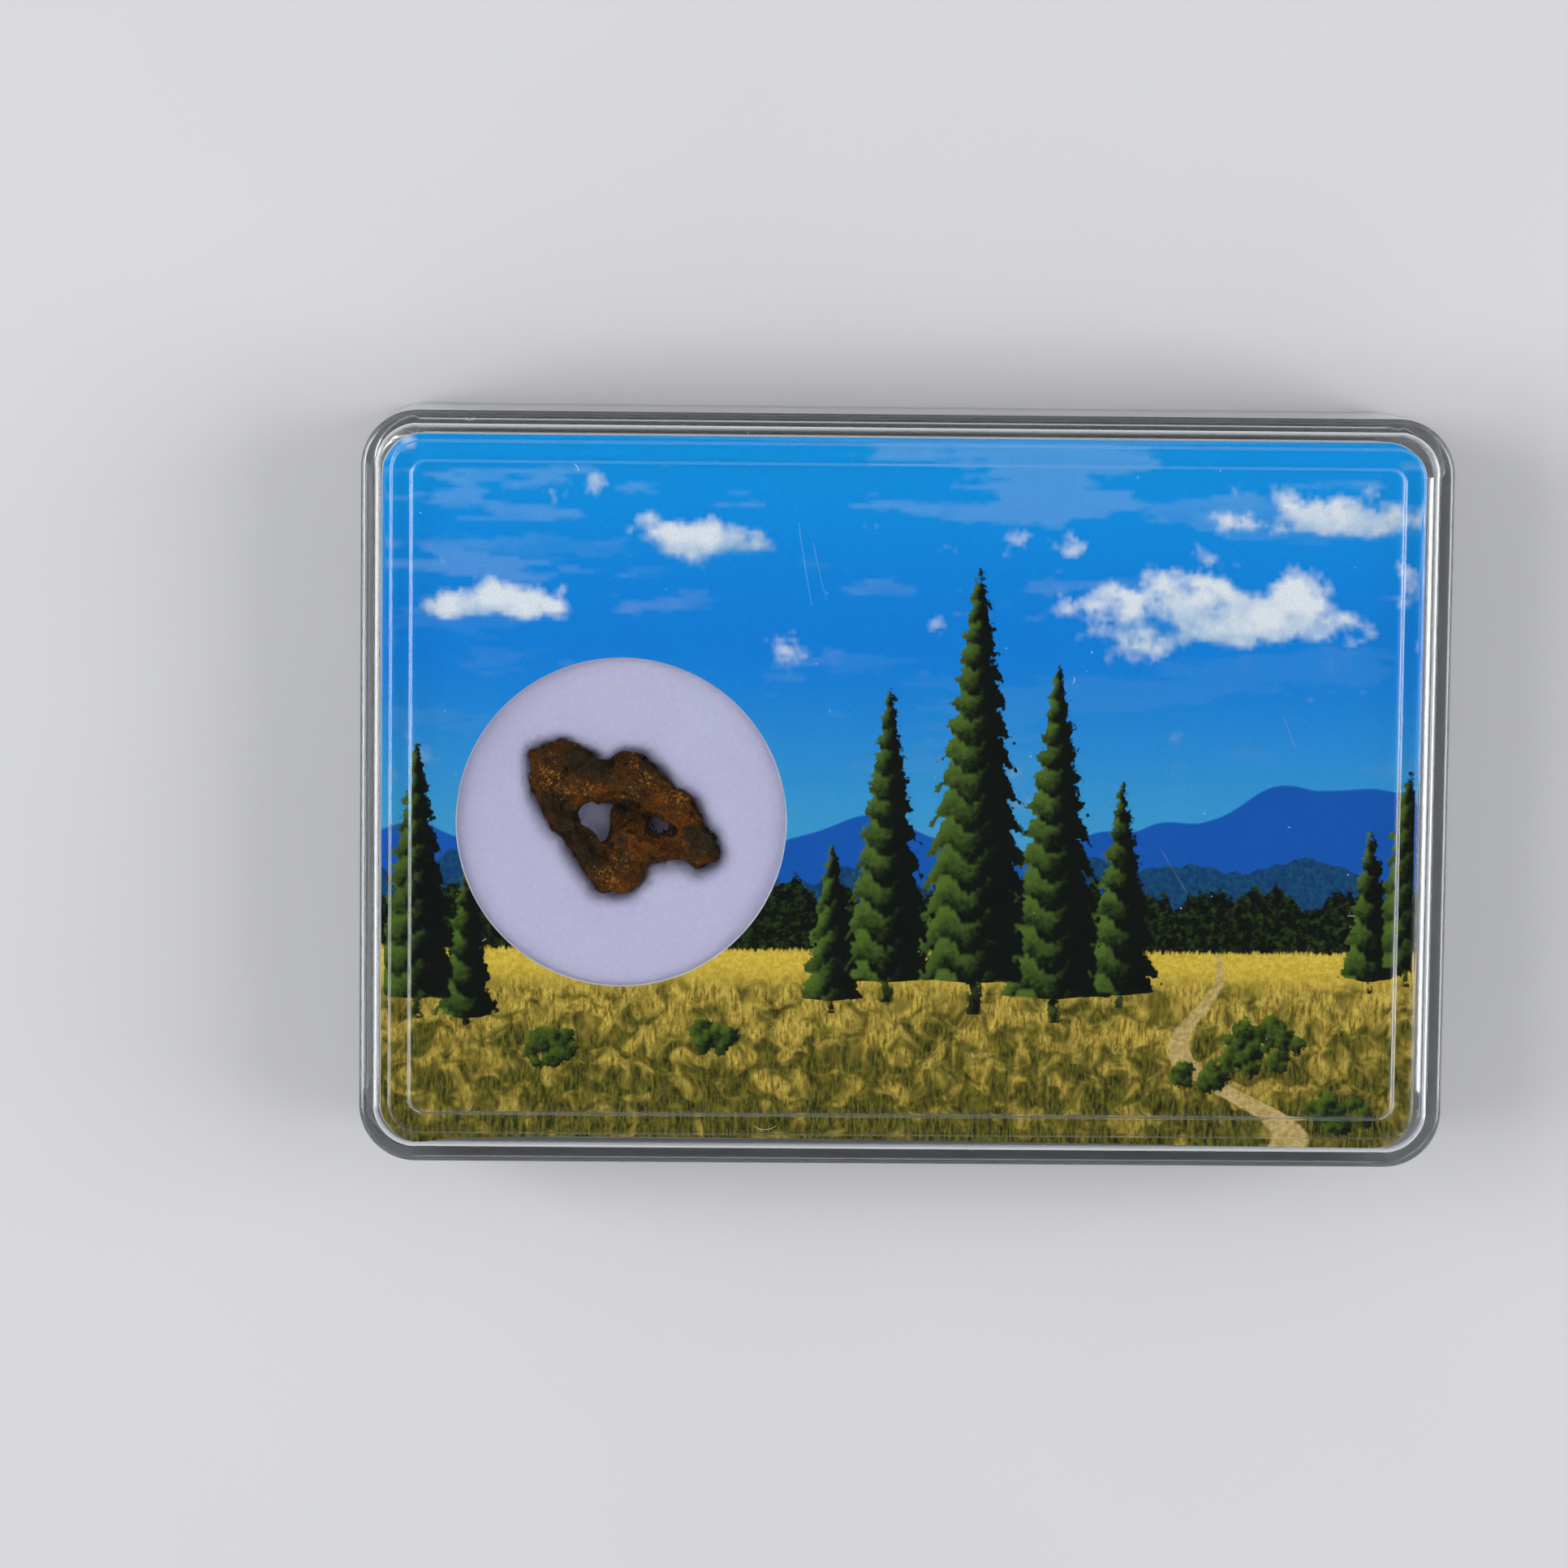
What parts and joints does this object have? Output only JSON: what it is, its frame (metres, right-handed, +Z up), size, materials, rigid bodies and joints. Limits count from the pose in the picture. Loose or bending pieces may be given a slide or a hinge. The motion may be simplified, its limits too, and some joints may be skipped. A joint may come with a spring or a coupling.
{
  "type": "pallasite meteorite fragment in a display box",
  "caption": "Rusty skeletal iron meteorite fragment on a soft pad in a clear flat display box, under a printed card with a round window; the lid lifts off and has a stacking ridge.",
  "frame": {"origin": "middle of the foot ring, on the surface that the box lies on", "axes": "+X along the box's long side, to the right as the card is read; +Y along its short side, to the card's top edge; +Z up through the lid"},
  "size_m": [0.0826, 0.0572, 0.017],
  "materials": {
    "clear_lid": "clear, polished polystyrene",
    "clear_base": "clear, polished polystyrene",
    "card": "printed, satin",
    "pad": "fluffy white felt",
    "iron": "rusty, rough"
  },
  "bodies": {
    "root": {"lid": "clear_lid", "base": "clear_base", "card": "card", "pad": "pad", "meteorite": "iron"}
  },
  "joints": []
}
